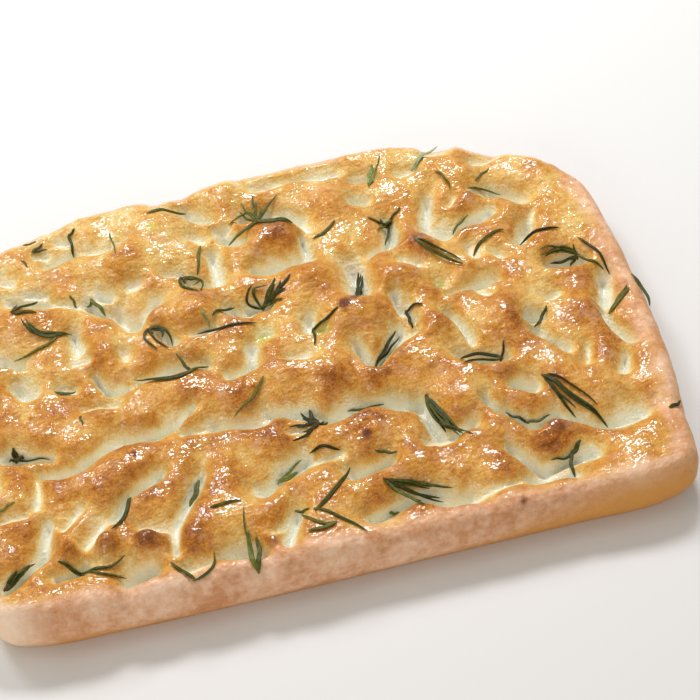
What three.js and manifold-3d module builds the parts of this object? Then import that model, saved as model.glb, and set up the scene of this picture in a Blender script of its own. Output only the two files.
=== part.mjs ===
// A whole sheet-pan focaccia: one flat loaf, dimpled by hand, with rosemary lying on its crust.
// Millimetres. X runs along the loaf, Y across it, Z up from the flat face that it stands on.
import * as THREE from 'three';
import { mergeVertices } from 'three/addons/utils/BufferGeometryUtils.js';
import Module from 'manifold-3d';

const wasm = await Module();
wasm.setup();

const loaf = {
  crownHeight: 32, // top of the dough where no finger has pressed
  leastHeight: 10, // bread left under the deepest press
  widestHeight: 12, // the side bulges out furthest here
  shoulder: 12, // width of the rounded edge, from the rim's crest to the side
  footInset: 4, // the side draws in by this much at the bottom
  columns: 62, // cells of the top along X
  rows: 44, // cells of the top along Y
  centring: 3.3, // moves the finished part along Y, so that the origin is in the middle of its outline
};

// The outline at its widest, anticlockwise from the near left corner. Each side starts at its corner.
const outlineSides = [
  [[-208, -140], [-190, -148], [-140, -152], [-60, -155], [30, -157], [110, -159], [165, -160]],
  [[186, -153], [196, -118], [207, -70], [213, -15], [215, 35], [212, 80]],
  [[185, 114], [155, 132], [105, 149], [35, 154], [-50, 146], [-105, 144], [-150, 134]],
  [[-190, 117], [-208, 88], [-214, 40], [-215, -20], [-215, -80], [-214, -118]],
];

// Finger presses. Each runs between two points of its near lip, given as [x1, y1, x2, y2].
// Fingers go in slanted, so the floor of a press lies pressLean times its depth beyond the lip,
// and its near wall is steeper than its far wall.
const pressLean = { x: 0.12, y: 0.4 };
const pressSkew = 0.24;
const pressBlend = 2.6; // how sharply one press gives way to the next
const pressGirth = 0.25; // a press swells and narrows along its length by this share
const pitCurve = 1.45; // 2 would round the floor of a press, 1 would point it
// Each press also draws down this share of its depth around it, spread times as far out, and more
// beyond it than on its near side.
const skirt = { share: 0.27, spread: 2.1, skew: 0.42 };
const pressKinds = [
  { // deep hollows
    reach: 6.6,
    depth: 18,
    marks: [
      [145, -117, 167, -118], [31, -136, 54, -141], [48, -69, 52, -95], [-38, -54, -15, -62],
      [-10, -67, 17, -65], [19, -64, 44, -69], [-55, -104, -28, -93], [-107, 50, -99, 37],
      [152, 80, 163, 69], [97, 61, 109, 53], [39, 20, 44, 41], [104, -136, 132, -135],
    ],
  },
  { // furrows
    reach: 4.8,
    depth: 15.5,
    marks: [
      [-172, -60, -154, -61], [-149, -59, -122, -50], [-121, -49, -94, -46], [-70, -55, -44, -57],
      [-189, -41, -164, -46], [-202, -125, -183, -114], [-139, -141, -126, -138], [-86, -142, -68, -145],
      [-1, -139, 25, -136], [90, -141, 115, -144], [86, -116, 101, -133], [-5, -107, 17, -106],
      [59, -99, 73, -96], [95, -90, 105, -102], [107, -103, 121, -101], [122, -105, 141, -116],
      [104, -75, 116, -81], [83, -46, 107, -55], [25, -24, 31, -34], [33, -35, 51, -16],
      [-104, -7, -65, -7], [-53, -18, -40, -16], [-176, 5, -170, -2], [-181, 27, -174, 23],
      [-40, 27, -34, 22], [-29, 27, -20, 27], [-97, 38, -84, 46], [-40, 77, -43, 55],
      [-30, 90, -21, 82], [-14, 102, 2, 104], [11, 100, 21, 91], [-49, 118, -39, 108],
      [-18, 58, 8, 55], [57, 52, 65, 52], [68, 55, 75, 74], [97, 65, 106, 86],
      [114, 54, 140, 65], [150, 34, 158, 42], [162, 9, 181, 8], [182, -31, 189, -11],
      [-166, 73, -152, 66], [-124, 59, -113, 51], [-141, 99, -128, 99], [-61, 59, -50, 54],
    ],
  },
  { // narrow slits
    reach: 3.6,
    depth: 13,
    marks: [
      [-106, -110, -87, -87], [-110, -130, -108, -113], [-139, -102, -126, -90], [-124, -89, -110, -78],
      [-52, -140, -42, -128], [-173, -130, -159, -127], [-136, 38, -136, 22], [63, 0, 63, -12],
      [59, 9, 60, -4], [133, -39, 144, -58], [130, -29, 138, -29], [87, -14, 93, -35],
      [179, -38, 184, -62], [172, -85, 175, -75], [-39, -14, -35, -3], [-122, -10, -112, -9],
      [-127, 0, -122, -10], [-87, 25, -80, 14], [4, 9, 2, 0], [16, 55, 18, 74],
      [59, 99, 67, 95], [65, 118, 75, 116], [-115, 66, -110, 64], [86, -81, 94, -89],
      [94, 6, 124, 6], [-182, -113, -173, -93], [-90, -46, -81, -39],
    ],
  },
  { // shallow dents
    reach: 4.2,
    depth: 8,
    marks: [
      [-107, -141, -93, -141], [-58, -133, -40, -123], [60, -140, 83, -139], [-166, -95, -155, -85],
      [-157, -111, -147, -100], [-22, -94, -5, -92], [153, -67, 156, -59], [150, -14, 158, -12],
      [-88, -52, -77, -54], [-32, -69, -23, -70], [-195, -82, -183, -84], [-178, -80, -176, -61],
      [-142, -17, -123, -20], [-19, -17, -9, -19], [50, -20, 60, -19], [7, -2, 11, -4],
      [-150, 1, -142, -2], [-111, 17, -110, 15], [-68, 19, -55, 20], [-28, 6, -23, 6],
      [160, 45, 168, 56], [119, 32, 121, 40], [134, 29, 135, 26], [88, 17, 91, 16],
      [74, 37, 80, 32], [112, 1, 116, -4], [-159, 81, -148, 76], [-144, 65, -130, 61],
      [-96, 69, -92, 68], [-170, 95, -166, 93], [-118, 103, -100, 101], [-98, 102, -92, 105],
      [-132, 117, -127, 115], [-148, 110, -141, 110], [-73, 69, -65, 70], [-47, 100, -42, 94],
      [-34, 98, -26, 99], [22, 89, 25, 83], [2, 130, 30, 131], [34, 131, 58, 130],
      [94, 116, 106, 116], [146, 114, 168, 112], [-63, 126, -50, 120], [138, 88, 151, 80],
      [120, 126, 132, 127], [118, 78, 124, 84], [-7, 64, 2, 62], [43, -97, 57, -100],
      [-126, -111, -112, -113], [-139, 16, -131, 14], [-200, -62, -196, -50], [-204, -10, -190, -6],
      [-200, 44, -192, 56],
    ],
  },
];

// Humps where the dough has puffed up, as [x, y, radius, height].
const humps = [
  [30, 5, 24, 7.5], [15, 42, 18, 7.5], [66, 27, 17, 7.5], [-10, 80, 20, 6], [88, 50, 16, 6],
  [-92, 92, 22, 7.5], [-155, 56, 22, 6], [10, 88, 16, 6], [45, 104, 18, 6], [-66, 115, 22, 6],
  [-125, 22, 18, 6], [-60, 38, 20, 6], [-84, -28, 30, 4.5], [-10, -36, 34, 4.5], [-130, -70, 30, 4.5],
  [10, -82, 28, 3], [120, -18, 22, 6], [168, -30, 18, 4.5], [-100, -118, 20, 4.5], [-144, -112, 10, 6],
  [-123, -116, 10, 6], [-163, -109, 8, 4.5], [-58, -132, 8, 4.5], [155, 60, 18, 3], [180, 96, 20, 3],
  [-16, 134, 10, 3], [75, -15, 14, 4.5], [150, -50, 14, 3], [-195, 20, 20, 3], [-190, -70, 20, 3],
];

// Long, low swells that keep the crust uneven between the presses.
const swells = [
  { height: 1.2, waveX: 47, waveY: 39, shiftX: 0.7, shiftY: 0.3 },
  { height: 0.9, waveX: 19, waveY: 27, shiftX: 1.9, shiftY: 2.2 },
];

const rosemary = {
  width: 2.6,
  thickness: 1.3,
  gap: 0.3, // clear space between a needle and the crust
  leastGap: 0.2, // no facet of the crust comes nearer to a needle than this
  reach: 1.8, // a needle rests on the highest crust within this distance of its middle line
  stations: 4, // cross-sections along a long needle
  spacing: 6, // distance between cross-sections on a shorter one
  butt: 1.2, // a needle starts this far behind its sprig's base, so that needles join there
  slack: 0.5, // sag that a stiff needle takes over a dip between two stations
  sink: 0.9, // depth that the smallest needles are baked into the crust
};

// Sprigs as [x, y, tips]: needles run from the base at x, y to each tip [x, y, bow, lift, girth].
// Bow is how far the middle lies to the left of the straight line, lift raises the tip,
// and girth widens or narrows the needle.
const sprigs = [
  [-201, -118, [[-183, -106, 0], [-186, -108, 0], [-193, -111, 0]]],
  [-183, -33, [[-183, -28, 0], [-178, -34, 0, 0, 1.2], [-187, -33, 0], [-164, -39, 0, 0, 0.6]]],
  [-126, -83, [[-140, -106, 3]]],
  [-87, -81, [[-96, -100, 0, 0, 1.4]]],
  [-160, -121, [[-171, -115, 1], [-136, -121, -5], [-138, -131, -3, 0, 0.8]]],
  [-104, -145, [[-114, -133, 0, 0, 1.1], [-90, -132, -5]]],
  [-13, -64, [[-14, -51, 0, 0, 1.5], [-19, -50, 0], [-29, -62, 0, 0, 0.8], [-30, -73, 2],
   [-5, -60, 0]]],
  [9, -56, [[31, -55, 1]]],
  [55, -60, [[58, -87, -1, 0, 1.3], [62, -98, 0], [64, -98, 1, 0, 0.8], [70, -101, -5, 0, 0.8]]],
  [34, -27, [[53, -8, -1], [55, -10, -1, 0, 0.8]]],
  [64, 5, [[73, 0, 0], [62, -13, 0]]],
  [-43, -91, [[-32, -92, 0, 0, 1.5], [-27, -81, 1, 0, 0.8]]],
  [-21, -81, [[-6, -87, 0]]],
  [-31, -123, [[-3, -97, -3], [-8, -145, 2]]],
  [-23, -134, [[-38, -120, 5], [-39, -136, 1, 0, 1.4]]],
  [-85, -107, [[-68, -107, 1]]],
  [-70, -149, [[-68, -111, 2, 0, 0.55], [-69, -125, 2, 0, 1.5], [-66, -129, -1, 0, 1.3]]],
  [12, -114, [[28, -138, -1], [42, -130, -1], [48, -126, 1], [36, -122, 0]]],
  [-35, -25, [[-57, -44, 2]]],
  [107, -47, [[80, -47, -5, 0, 1.5], [81, -50, -1, 0, 0.8], [111, -39, 0, 0, 0.8]]],
  [145, -21, [[134, -31, 1]]],
  [106, -93, [[96, -83, 1], [120, -93, -1]]],
  [124, -70, [[133, -100, -2], [150, -109, -2, 0, 1.5], [147, -99, 2, 0, 0.7]]],
  [183, -33, [[200, -19, 0, 0, 1.2], [200, -22, 0, 0, 1.2]]],
  [207, -11, [[207, -38, 3]]],
  [122, -122, [[108, -123, 1, 0, 0.9], [129, -117, 0, 0, 1.3], [117, -138, -1, 0, 1.1]]],
  [184, -115, [[194, -110, -1]]],
  [-147, 117, [[-140, 121, 0], [-138, 117, 0, 0, 0.7]]],
  [-123, 123, [[-118, 126, 0], [-123, 109, 0]]],
  [-98, 115, [[-98, 90, 0, 0, 0.7]]],
  [-119, 70, [[-123, 67, 0, 0, 0.8], [-113, 59, 0, 0, 1.2]]],
  [-167, 65, [[-153, 57, 0], [-151, 78, 0], [-164, 82, 0, 0, 0.8]]],
  [-137, 46, [[-163, 56, 10], [-160, 53, 7, 0, 0.9]]],
  [-145, 40, [[-173, 35, 4]]],
  [-91, 32, [[-79, 22, 6, 0, 0.9], [-89, 15, -4], [-82, 14, -2, 0, 0.8]]],
  [-152, 2, [[-141, 2, -4]]],
  [-74, -9, [[-79, 10, 0, 0, 0.9], [-62, -1, 0], [-107, 1, 7, 0, 1.4]]],
  [-71, 123, [[-46, 128, -1, 0, 1.1]]],
  [-6, 97, [[-2, 126, 0, 0, 0.8], [14, 123, 1, 0, 1.1], [-11, 121, 0, 0, 0.8], [-23, 106, -11],
   [15, 88, 0, 0, 1.4], [-28, 85, -2, 0, 1.4]]],
  [-62, 72, [[-55, 48, 8, 0, 0.9], [-55, 48, -5], [-54, 69, 0, 0, 0.8]]],
  [-45, 91, [[-52, 70, 0]]],
  [40, 26, [[47, 49, 0], [48, 43, 0], [42, 37, 0]]],
  [-18, 37, [[-22, 49, 8, 0, 0.8], [2, 47, -2, 0, 1.2], [-7, 50, 0, 0, 0.8], [-3, 38, 0, 0, 1.2],
   [-7, 31, 0]]],
  [-37, 38, [[-52, 28, -1]]],
  [-57, 31, [[-55, 24, 0, 0, 0.9]]],
  [-62, 22, [[-27, 18, -1]]],
  [26, 77, [[43, 87, -2]]],
  [5, 6, [[22, 9, -1], [1, -12, 0, 0, 0.8]]],
  [79, 83, [[64, 85, 4, 0, 1.2], [88, 89, 0, 0, 0.8], [70, 65, 0], [67, 73, 0, 0, 0.8]]],
  [74, 113, [[81, 129, 0, 2, 1.6], [86, 128, -1, 9]]],
  [107, 121, [[129, 134, 0, 4, 1.6]]],
  [117, 65, [[129, 72, 1]]],
  [137, 93, [[158, 87, 2]]],
  [119, 109, [[124, 94, 2]]],
  [154, 41, [[178, 38, 0]]],
  [121, 38, [[144, 47, 3]]],
  [85, 50, [[109, 26, -2, 0, 1.1], [109, 29, 2, 0, 0.9]]],
  [183, 18, [[159, 25, -4, 0, 1.2], [159, 22, -3], [165, 19, 0], [194, 1, -1], [182, 25, 0, 0, 0.8]]],
  [187, 27, [[196, -3, 2]]],
];

// The smallest bits of rosemary, baked into the crust, as [x1, y1, x2, y2].
const bakedBits = [
  [-196, -73, -187, -70], [-142, -22, -142, -29], [11, -129, 16, -129], [137, -39, 142, -48],
  [14, -93, 25, -96], [-155, 109, -152, 102], [-151, 124, -143, 124], [-131, 72, -129, 66],
  [-40, -117, -33, -121], [144, 99, 156, 106],
];

// Heights of the crust

const presses = pressKinds.flatMap(({ reach, depth, marks }) =>
  marks.map(([x1, y1, x2, y2]) => ({
    reach,
    depth,
    x: x1 + pressLean.x * depth,
    y: y1 + pressLean.y * depth,
    runX: x2 - x1,
    runY: y2 - y1,
  })));

function wander(x, y) {
  return [
    x + 1.2 * Math.sin(y / 7 + 1) + 0.9 * Math.sin(x / 11 + y / 14),
    y + 1.2 * Math.sin(x / 8 + 2) + 0.9 * Math.sin(y / 10 - x / 15),
  ];
}

function pressDepth(x, y) {
  const [atX, atY] = wander(x, y); // so that no press has a ruled edge
  const girth = 1 + pressGirth * Math.sin(x / 6 + y / 15) * Math.sin(y / 7 - x / 18);
  let total = 0;
  for (const press of presses) {
    const offX = atX - press.x;
    const offY = atY - press.y;
    const along = (offX * press.runX + offY * press.runY) / (press.runX ** 2 + press.runY ** 2);
    const nearest = THREE.MathUtils.clamp(along, 0, 1);
    const restX = offX - nearest * press.runX;
    const restY = offY - nearest * press.runY;
    const away = Math.hypot(restX, restY);
    const reach = press.reach * girth;
    const core = Math.exp(-(((away - pressSkew * restY) / reach) ** pitCurve));
    const around = Math.exp(-(((away - skirt.skew * restY) / (reach * skirt.spread)) ** 2));
    total += (press.depth * (core + skirt.share * (around - core))) ** pressBlend;
  }
  return total ** (1 / pressBlend);
}

function swellHeight(x, y) {
  return swells.reduce((sum, { height, waveX, waveY, shiftX, shiftY }) =>
    sum + height * Math.sin(x / waveX + shiftX) * Math.cos(y / waveY + shiftY), 0);
}

function humpHeight(x, y) {
  return humps.reduce((sum, [atX, atY, radius, height]) =>
    sum + height * Math.exp(-((x - atX) ** 2 + (y - atY) ** 2) / (0.5 * radius ** 2)), 0);
}

function crustHeight(x, y) {
  const free = loaf.crownHeight + swellHeight(x, y) + humpHeight(x, y);
  return Math.max(loaf.leastHeight, free - pressDepth(x, y));
}

// The loaf: a patch of cells over the outline, rings of cells down the side, and a flat bottom

function outlineLoop() {
  const controls = outlineSides.flat().map(([x, y]) => new THREE.Vector3(x, y, 0));
  const counts = [loaf.columns, loaf.rows, loaf.columns, loaf.rows];
  const curve = new THREE.CatmullRomCurve3(controls, true);
  const loop = [];
  let control = 0;
  outlineSides.forEach((side, number) => {
    const stretch = side.length / controls.length;
    const start = control / controls.length;
    const track = Array.from({ length: 401 }, (_, i) => curve.getPoint((start + stretch * i / 400) % 1));
    const reached = [0];
    for (let i = 1; i < track.length; i += 1) {
      reached.push(reached[i - 1] + track[i].distanceTo(track[i - 1]));
    }
    for (let cell = 0; cell < counts[number]; cell += 1) {
      const goal = reached[400] * cell / counts[number];
      loop.push(track[reached.findIndex((length) => length >= goal)]);
    }
    control += side.length;
  });
  return loop;
}

function insetLoop(loop, inset) {
  return loop.map((point, i) => {
    const before = loop[(i + loop.length - 1) % loop.length];
    const after = loop[(i + 1) % loop.length];
    const inward = new THREE.Vector3(before.y - after.y, after.x - before.x, 0).normalize();
    return point.clone().addScaledVector(inward, inset);
  });
}

function patchPoint(loop, column, row) {
  const { columns, rows } = loaf;
  const across = column / columns;
  const up = row / rows;
  const near = loop[column];
  const right = loop[columns + row] ?? loop[0];
  const far = loop[2 * columns + rows - column];
  const left = loop[(2 * columns + 2 * rows - row) % loop.length];
  const corners = [loop[0], loop[columns], loop[columns + rows], loop[2 * columns + rows]];
  const shares = [(1 - across) * (1 - up), across * (1 - up), across * up, (1 - across) * up];
  const point = new THREE.Vector3()
    .addScaledVector(near, 1 - up)
    .addScaledVector(far, up)
    .addScaledVector(left, 1 - across)
    .addScaledVector(right, across);
  corners.forEach((corner, i) => point.addScaledVector(corner, -shares[i]));
  return point;
}

function loafGeometry() {
  const { columns, rows, shoulder, widestHeight, footInset } = loaf;
  const outline = outlineLoop();
  const crest = insetLoop(outline, shoulder);
  const places = [];
  const triangles = [];
  const quad = (a, b, c, d) => triangles.push(a, b, c, a, c, d);

  for (let row = 0; row <= rows; row += 1) {
    for (let column = 0; column <= columns; column += 1) {
      const { x, y } = patchPoint(crest, column, row);
      places.push(x, y, crustHeight(x, y));
    }
  }
  const cell = (column, row) => row * (columns + 1) + column;
  for (let row = 0; row < rows; row += 1) {
    for (let column = 0; column < columns; column += 1) {
      quad(cell(column, row), cell(column + 1, row), cell(column + 1, row + 1), cell(column, row + 1));
    }
  }

  let upper = [];
  for (let column = 0; column < columns; column += 1) upper.push(cell(column, 0));
  for (let row = 0; row < rows; row += 1) upper.push(cell(columns, row));
  for (let column = columns; column > 0; column -= 1) upper.push(cell(column, rows));
  for (let row = rows; row > 0; row -= 1) upper.push(cell(0, row));

  const rings = [
    { inset: 0.36 * shoulder, rise: 0.77 },
    { inset: 0.05 * shoulder, rise: 0.31 },
    { inset: 0, rise: 0 },
    { inset: footInset, rise: -1 },
  ];
  for (const { inset, rise } of rings) {
    const lower = insetLoop(outline, inset).map((point, i) => {
      const top = crustHeight(crest[i].x, crest[i].y);
      const room = rise < 0 ? widestHeight : top - widestHeight;
      places.push(point.x, point.y, widestHeight + rise * room);
      return places.length / 3 - 1;
    });
    lower.forEach((corner, i) => {
      const next = (i + 1) % lower.length;
      quad(corner, lower[next], upper[next], upper[i]);
    });
    upper = lower;
  }

  const foot = upper.map((corner) => new THREE.Vector2(places[3 * corner], places[3 * corner + 1]));
  for (const [a, b, c] of THREE.ShapeUtils.triangulateShape(foot, [])) {
    triangles.push(upper[a], upper[c], upper[b]);
  }
  return meshGeometry(places, triangles);
}

function meshGeometry(places, triangles) {
  const geometry = new THREE.BufferGeometry();
  geometry.setAttribute('position', new THREE.Float32BufferAttribute(places, 3));
  geometry.setIndex(triangles);
  return geometry;
}

// Joining

const joinTolerance = 0.25; // slivers thinner than this are tidied away where pieces join
const leastVolume = 0.01; // and so are crumbs smaller than this

function toSolid(geometry) {
  const merged = mergeVertices(geometry);
  return new wasm.Manifold(new wasm.Mesh({
    numProp: 3,
    vertProperties: new Float32Array(merged.attributes.position.array),
    triVerts: new Uint32Array(merged.index.array),
  }));
}

function joined(solids) {
  const whole = solids.reduce((sum, piece) => sum.add(piece)).simplify(joinTolerance);
  return wasm.Manifold.compose(whole.decompose().filter((body) => body.volume() > leastVolume));
}

function toGeometry(solid) {
  const { vertProperties, triVerts } = solid.getMesh();
  return meshGeometry(Array.from(vertProperties), Array.from(triVerts));
}

// Rosemary

const downwards = new THREE.Vector3(0, 0, -1);
const ray = new THREE.Raycaster();

function crustAt(crust, x, y) {
  ray.set(new THREE.Vector3(x, y, 100), downwards);
  const [hit] = ray.intersectObject(crust);
  return hit ? hit.point.z : 0;
}

function restingHeight(crust, x, y, reach) {
  let height = crustAt(crust, x, y);
  for (let turn = 0; turn < 2 * Math.PI && reach > 0; turn += Math.PI / 4) {
    height = Math.max(height, crustAt(crust, x + reach * Math.cos(turn), y + reach * Math.sin(turn)));
  }
  return height;
}

function needleLine(crust, reach, [startX, startY], [endX, endY, bow = 0, lift = 0, girth = 1]) {
  const { butt, slack, spacing } = rosemary;
  const length = Math.hypot(endX - startX, endY - startY);
  const heading = new THREE.Vector2(endX - startX, endY - startY).divideScalar(length);
  const side = new THREE.Vector2(-heading.y, heading.x);
  const steps = 2 * THREE.MathUtils.clamp(Math.round(length / spacing), 2, rosemary.stations);
  const line = Array.from({ length: steps + 1 }, (_, i) => {
    const share = i / steps;
    const run = share * (length + butt) - butt;
    const offset = bow * 4 * share * (1 - share);
    const x = startX + heading.x * run + side.x * offset;
    const y = startY + heading.y * run + side.y * offset;
    return new THREE.Vector3(x, y, restingHeight(crust, x, y, reach * girth) + lift * share ** 2);
  });
  for (let pass = 0; pass < steps; pass += 1) {
    for (let i = 1; i < steps; i += 1) {
      line[i].z = Math.max(line[i].z, (line[i - 1].z + line[i + 1].z) / 2 - slack / 4);
    }
  }
  return { line, side, girth };
}

// A needle has four long faces: two over its back and two under it, split into triangles alike.
function needleGeometry({ line, side, girth }, clearance) {
  const { width, thickness } = rosemary;
  const steps = line.length - 1;
  const places = [];
  const triangles = [];
  for (let i = 0; i < steps; i += 2) {
    const { x, y, z } = line[i];
    const share = i / steps;
    const half = girth * width / 2 * Math.min(1, 0.35 + 2.6 * share) * Math.sqrt(1 - share ** 3);
    const middle = Math.max(z, line[i + 1].z, line[Math.max(i - 1, 0)].z) + clearance + thickness / 2;
    places.push(x - side.x * half, y - side.y * half, middle);
    places.push(x, y, middle - thickness / 2);
    places.push(x + side.x * half, y + side.y * half, middle);
    places.push(x, y, middle + thickness / 2);
  }
  const tip = line[steps];
  places.push(tip.x, tip.y, tip.z + clearance + thickness / 2);
  const point = places.length / 3 - 1;
  triangles.push(0, 3, 1, 3, 2, 1);
  for (let ring = 0; ring < point; ring += 4) {
    for (let corner = 0; corner < 4; corner += 1) {
      const a = ring + corner;
      const b = ring + (corner + 1) % 4;
      if (ring + 4 < point) {
        triangles.push(a, b, b + 4, a, b + 4, a + 4);
      } else {
        triangles.push(a, b, point);
      }
    }
  }
  return meshGeometry(places, triangles);
}

function sprigGeometry(crust, [x, y, tips]) {
  const needles = tips.map((tip) => needleLine(crust, rosemary.reach, [x, y], tip));
  const baseHeight = Math.max(...needles.flatMap(({ line }) => [line[0].z, line[1].z]));
  for (const { line } of needles) {
    line[0].z = baseHeight; // all needles of a sprig join at one height
  }
  let sprig = joined(needles.map((needle) => toSolid(needleGeometry(needle, rosemary.gap))));
  while (sprig.translate([0, 0, -rosemary.leastGap]).intersect(crustSolid).volume() > 0) {
    sprig = sprig.translate([0, 0, rosemary.leastGap]);
  }
  return toGeometry(sprig);
}

// Assembly

const crustMaterial = new THREE.MeshStandardMaterial({ color: 0xcf8a45, roughness: 0.45, metalness: 0 });
const leafMaterial = new THREE.MeshStandardMaterial({ color: 0x37421f, roughness: 0.5, metalness: 0 });

const focaccia = new THREE.Group();
const crust = new THREE.Mesh(loafGeometry(), crustMaterial);
crust.name = 'focaccia';
crust.updateMatrixWorld();
const crustSolid = toSolid(crust.geometry);

const bits = bakedBits.map(([x1, y1, x2, y2]) =>
  toSolid(needleGeometry(needleLine(crust, 0, [x1, y1], [x2, y2]), -rosemary.sink)));

sprigs.forEach((sprig, number) => {
  const mesh = new THREE.Mesh(sprigGeometry(crust, sprig), leafMaterial.clone());
  mesh.name = `rosemary_${String(number + 1).padStart(2, '0')}`;
  focaccia.add(mesh);
});

crust.geometry = toGeometry(joined([crustSolid, ...bits]));
focaccia.add(crust);
focaccia.children.forEach((mesh) => mesh.geometry.translate(0, loaf.centring, 0));

export default focaccia;
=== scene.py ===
import math
import random

import bmesh
import bpy
import numpy as np
from mathutils import Matrix, Vector, noise
from mathutils.bvhtree import BVHTree


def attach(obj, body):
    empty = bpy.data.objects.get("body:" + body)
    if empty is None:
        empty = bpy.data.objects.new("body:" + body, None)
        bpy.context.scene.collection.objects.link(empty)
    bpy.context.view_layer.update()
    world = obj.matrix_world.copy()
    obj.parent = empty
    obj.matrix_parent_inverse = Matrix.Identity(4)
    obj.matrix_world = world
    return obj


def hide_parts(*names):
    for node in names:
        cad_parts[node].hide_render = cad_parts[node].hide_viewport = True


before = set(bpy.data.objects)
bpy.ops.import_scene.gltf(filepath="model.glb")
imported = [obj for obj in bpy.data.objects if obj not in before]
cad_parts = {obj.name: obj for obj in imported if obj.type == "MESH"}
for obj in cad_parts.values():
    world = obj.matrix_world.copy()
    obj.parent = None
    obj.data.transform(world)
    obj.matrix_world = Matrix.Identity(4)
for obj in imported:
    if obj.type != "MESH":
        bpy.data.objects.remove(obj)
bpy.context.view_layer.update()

mm = 0.001  # the lengths below are in millimetres, and every mesh is in metres

centring = Vector((0, 3.3, 0)) * mm  # moves every piece, so that the outline is centred on the origin

view = {
    "place": (-144.9, -560.5, 704.8),
    "target": (28.0, 5.0, 0.0),
    "lens": 76.0,
    "sensor": 36.0,
}

studio = {
    "floorSize": 12.0,  # metres
    "floorColour": (226, 224, 220),
    "floorRoughness": 0.7,
    "worldColour": (1.0, 0.97, 0.93),
    "worldStrength": 0.34,
    "lights": {
        # name: place, target, width, height in metres, power, colour
        "windowLight": ((0.34, 1.05, 1.30), (0, 0, 0), 0.44, 0.26, 19, (0.93, 0.95, 1.0)),
        "farWindow": ((-0.62, 1.25, 1.25), (0, 0, 0), 0.5, 0.28, 10, (0.93, 0.95, 1.0)),
        "ceilingLight": ((-0.7, 0.5, 1.9), (0, 0, 0), 1.2, 0.9, 7, (1.0, 0.96, 0.9)),
        "frontFill": ((-1.0, -1.5, 0.8), (0, 0, 0), 1.2, 0.8, 9, (1.0, 0.96, 0.92)),
    },
}


# Camera, floor and light

def aimAt(thing, place, target):
    thing.location = place
    thing.rotation_euler = (Vector(target) - Vector(place)).to_track_quat("-Z", "Y").to_euler()


def link(thing):
    bpy.context.scene.collection.objects.link(thing)
    return thing


def addCamera():
    data = bpy.data.cameras.new("camera")
    data.lens = view["lens"]
    data.sensor_width = view["sensor"]
    camera = link(bpy.data.objects.new("camera", data))
    aimAt(camera, Vector(view["place"]) * mm + centring, Vector(view["target"]) * mm + centring)
    bpy.context.scene.camera = camera


def addLights():
    for name, (place, target, width, height, power, colour) in studio["lights"].items():
        data = bpy.data.lights.new(name, "AREA")
        data.shape = "RECTANGLE"
        data.size, data.size_y = width, height
        data.energy = power
        data.color = colour
        aimAt(link(bpy.data.objects.new(name, data)), place, target)
    world = bpy.data.worlds.new("studioWorld")
    world.use_nodes = True
    background = world.node_tree.nodes["Background"]
    background.inputs["Color"].default_value = (*studio["worldColour"], 1)
    background.inputs["Strength"].default_value = studio["worldStrength"]
    bpy.context.scene.world = world
    bpy.context.scene.view_settings.view_transform = "Standard"


# Materials

def tone(red, green, blue):  # a colour picked in sRGB, 0 to 255
    parts = [value / 255 for value in (red, green, blue)]
    return (*[p / 12.92 if p < 0.04045 else ((p + 0.055) / 1.055) ** 2.4 for p in parts], 1)


def newMaterial(name):
    material = bpy.data.materials.new(name)
    material.use_nodes = True
    return material, material.node_tree, material.node_tree.nodes["Principled BSDF"]


def addNode(tree, kind, inputs=None, **settings):
    made = tree.nodes.new("ShaderNode" + kind)
    for name, value in settings.items():
        setattr(made, name, value)
    for name, value in (inputs or {}).items():
        if isinstance(value, bpy.types.NodeSocket):
            tree.links.new(value, made.inputs[name])
        else:
            made.inputs[name].default_value = value
    return made


def readLayer(tree, name):
    return addNode(tree, "Attribute", attribute_name=name).outputs["Fac"]


def maths(tree, operation, first, second, clamp=False):
    return addNode(tree, "Math", {0: first, 1: second}, operation=operation, use_clamp=clamp).outputs[0]


def spread(tree, value, fromLow, fromHigh, toLow=0.0, toHigh=1.0):
    return addNode(tree, "MapRange", {
        "Value": value, "From Min": fromLow, "From Max": fromHigh, "To Min": toLow, "To Max": toHigh,
    }).outputs["Result"]


def mixColour(tree, share, first, second):
    made = addNode(tree, "Mix", data_type="RGBA")
    for socket, value in ((made.inputs[0], share), (made.inputs[6], first), (made.inputs[7], second)):
        if isinstance(value, bpy.types.NodeSocket):
            tree.links.new(value, socket)
        else:
            socket.default_value = value
    return made.outputs[2]


def ramp(tree, value, stops):
    made = addNode(tree, "ValToRGB", {"Fac": value})
    elements = made.color_ramp.elements
    while len(elements) < len(stops):
        elements.new(0.5)
    for element, (position, colour) in zip(elements, stops):
        element.position = position
        element.color = colour
    return made.outputs["Color"]


def grain(tree, wavelength, detail=2.0, roughness=0.5, stretch=(1, 1, 1)):
    # noise whose lumps are about this many millimetres apart
    where = addNode(tree, "TexCoord").outputs["Object"]
    where = addNode(tree, "Mapping", {"Vector": where, "Scale": stretch}).outputs["Vector"]
    return addNode(tree, "TexNoise", {
        "Vector": where, "Scale": 1 / (wavelength * mm), "Detail": detail, "Roughness": roughness,
    }).outputs["Fac"]


def cellsOf(tree, wavelength, smoothness=0.6):
    where = addNode(tree, "TexCoord").outputs["Object"]
    return addNode(tree, "TexVoronoi", {
        "Vector": where, "Scale": 1 / (wavelength * mm), "Smoothness": smoothness,
    }, feature="SMOOTH_F1").outputs["Distance"]


def bump(tree, height, distance, strength, below=None):
    inputs = {"Height": height, "Distance": distance * mm, "Strength": strength}
    if below is not None:
        inputs["Normal"] = below
    return addNode(tree, "Bump", inputs).outputs["Normal"]


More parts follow.
